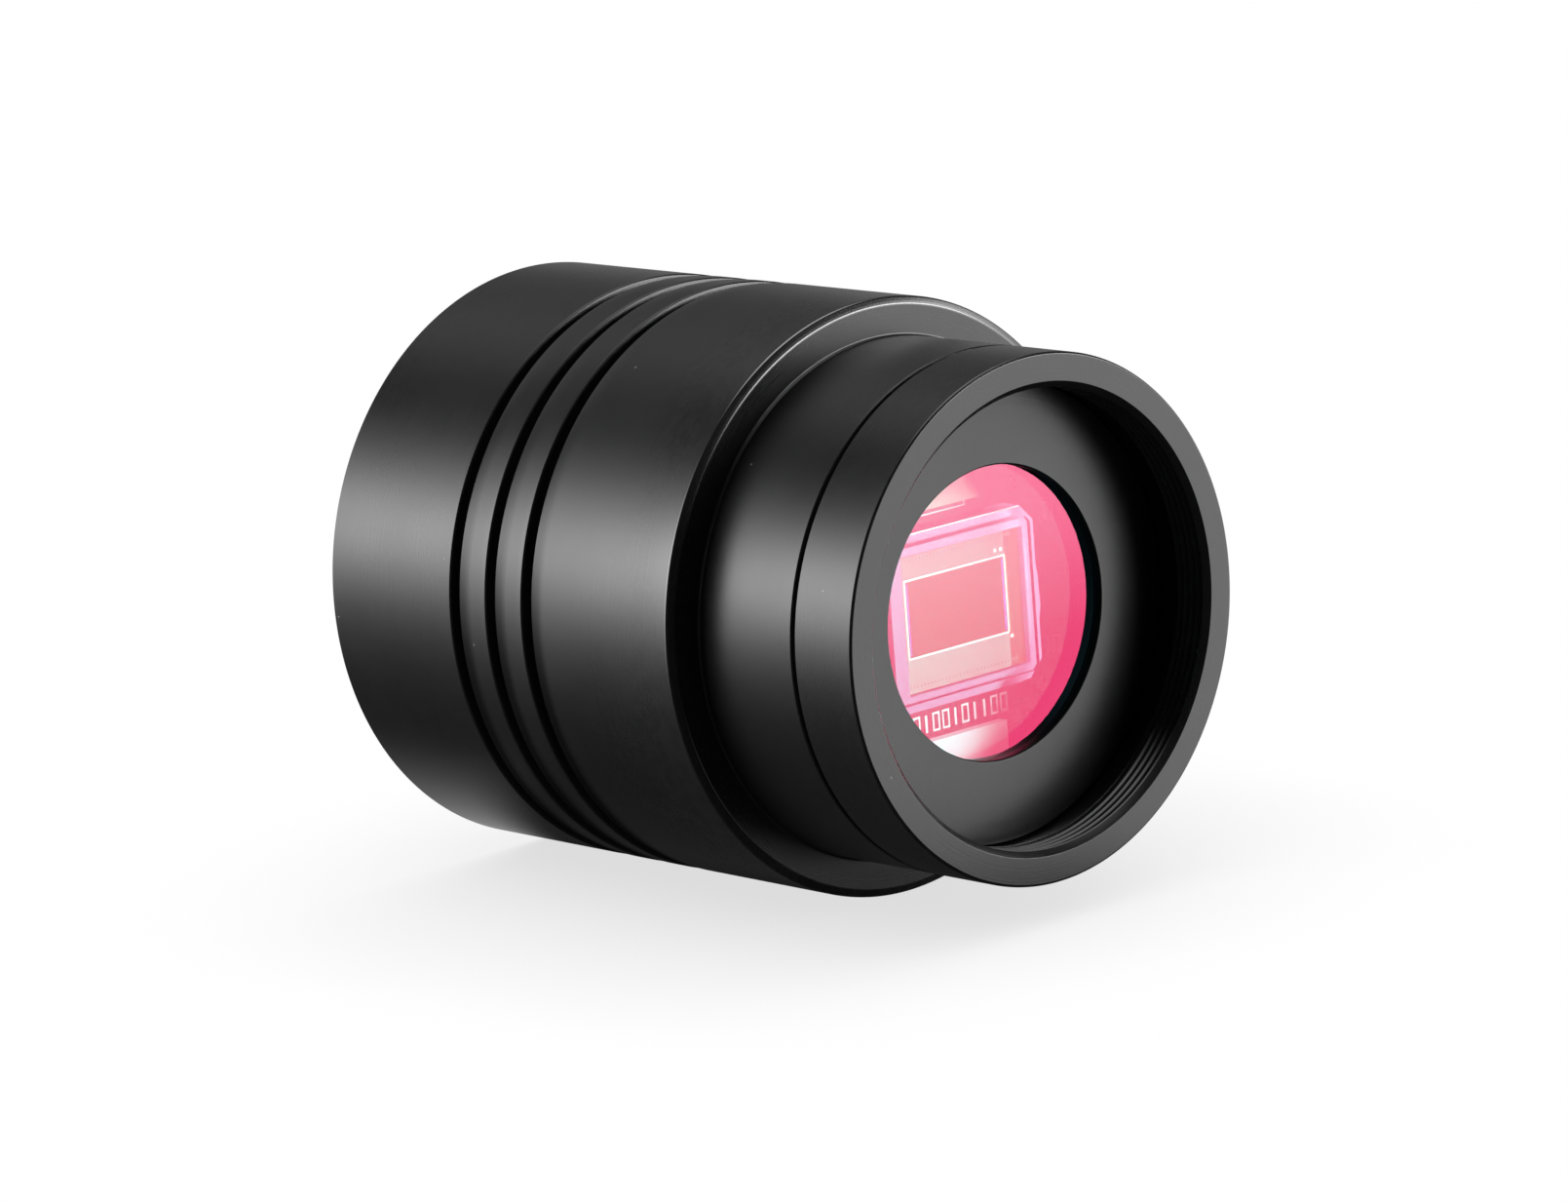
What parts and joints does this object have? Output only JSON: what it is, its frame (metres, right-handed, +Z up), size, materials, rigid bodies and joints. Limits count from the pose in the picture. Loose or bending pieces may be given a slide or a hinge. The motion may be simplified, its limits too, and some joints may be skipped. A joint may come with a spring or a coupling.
{
  "type": "cooled astronomy camera",
  "caption": "Cylindrical cooled astronomy camera with a removable T2 front ring, a coated window over its sensor, and rear data and power sockets.",
  "frame": {"origin": "centre of the front ring's front face, the T2 shoulder plane", "axes": "+X along the optical axis, out of the nose towards the telescope; +Z up across the sensor's short side; +Y along the sensor's long side"},
  "size_m": [0.0662, 0.0546, 0.0546],
  "materials": {
    "black_anodised": "fine-turned, matte black anodised",
    "slip_washer": "black slip washer, matte",
    "bare_aluminium": "milled, bare",
    "copper_block": "copper, milled",
    "steel_screws": "black-oxide steel, satin",
    "brass_posts": "turned brass",
    "seal_rubber": "nitrile rubber, matte",
    "coated_window": "polished, with a pink infrared-blocking coating",
    "cover_glass": "polished, clear",
    "white_ceramic": "fired alumina, smooth matte",
    "package_ceramic": "sensor package, smooth",
    "silicon": "polished silicon",
    "pixel_field": "pixel array with microlenses, iridescent",
    "circuit_board": "solder mask, satin",
    "chip_black": "moulded epoxy, matte",
    "chip_pale": "pale moulded part, satin",
    "capacitor": "ceramic capacitor",
    "foam": "closed-cell foam",
    "thermal_pad": "soft gap pad",
    "pellet_metal": "sintered bismuth telluride",
    "lead_wire": "silicone-covered wire",
    "connector_plastic": "moulded nylon",
    "flex_film": "polyimide film",
    "gold_contacts": "gold-plated contacts",
    "nickel_shell": "nickel-plated sheet, satin"
  },
  "bodies": {
    "camera": {"front_housing": "black_anodised", "body_shell": "black_anodised", "shell_oring": "seal_rubber", "window_cell": "black_anodised", "window_glass": "coated_window", "window_cushion": "seal_rubber", "window_retainer": "black_anodised", "chamber_gasket": "seal_rubber", "cell_screws": "steel_screws", "sensor_package": "package_ceramic", "sensor_die": "silicon", "pixel_array": "pixel_field", "sensor_glass": "cover_glass", "sensor_board": "circuit_board", "front_chips": "chip_pale", "front_capacitors": "capacitor", "finger_pad": "thermal_pad", "cold_finger": "copper_block", "insulation_ring": "foam", "tec_cold_plate": "white_ceramic", "tec_hot_plate": "white_ceramic", "tec_pellets": "pellet_metal", "heat_spreader": "bare_aluminium", "spacer_sleeves": "bare_aluminium", "clamp_screws": "steel_screws", "tec_leads": "lead_wire", "sensor_connector": "connector_plastic", "cable_connector": "connector_plastic", "flex_cable": "flex_film", "main_board": "circuit_board", "main_chips": "chip_black", "rear_board": "circuit_board", "rear_chips": "chip_black", "front_posts": "brass_posts", "rear_posts": "brass_posts", "board_screws": "steel_screws", "board_header": "connector_plastic", "header_pins": "gold_contacts", "usb_socket": "nickel_shell", "usb_tongue": "connector_plastic", "usb_contacts": "gold_contacts", "power_jack": "connector_plastic", "power_pin": "gold_contacts", "rear_cover": "black_anodised", "cover_gasket": "seal_rubber", "cover_screws": "steel_screws"},
    "ring_travel_body": {"ring_washer": "slip_washer"},
    "front_ring_body": {"front_ring": "black_anodised"}
  },
  "joints": [
    {"name": "ring_travel", "type": "slide", "parent": "camera", "child": "ring_travel_body", "axis": [1, 0, 0], "range_m": [0, 0.003]},
    {"name": "ring_turn", "type": "hinge", "parent": "ring_travel_body", "child": "front_ring_body", "pos_m": [-0.0035, 0, 0], "axis": [1, 0, 0], "range_deg": [0, 1440]}
  ],
  "couplings": [
    {"joint": "ring_travel", "follows": "ring_turn", "m_per_rad": 0.00011937}
  ]
}
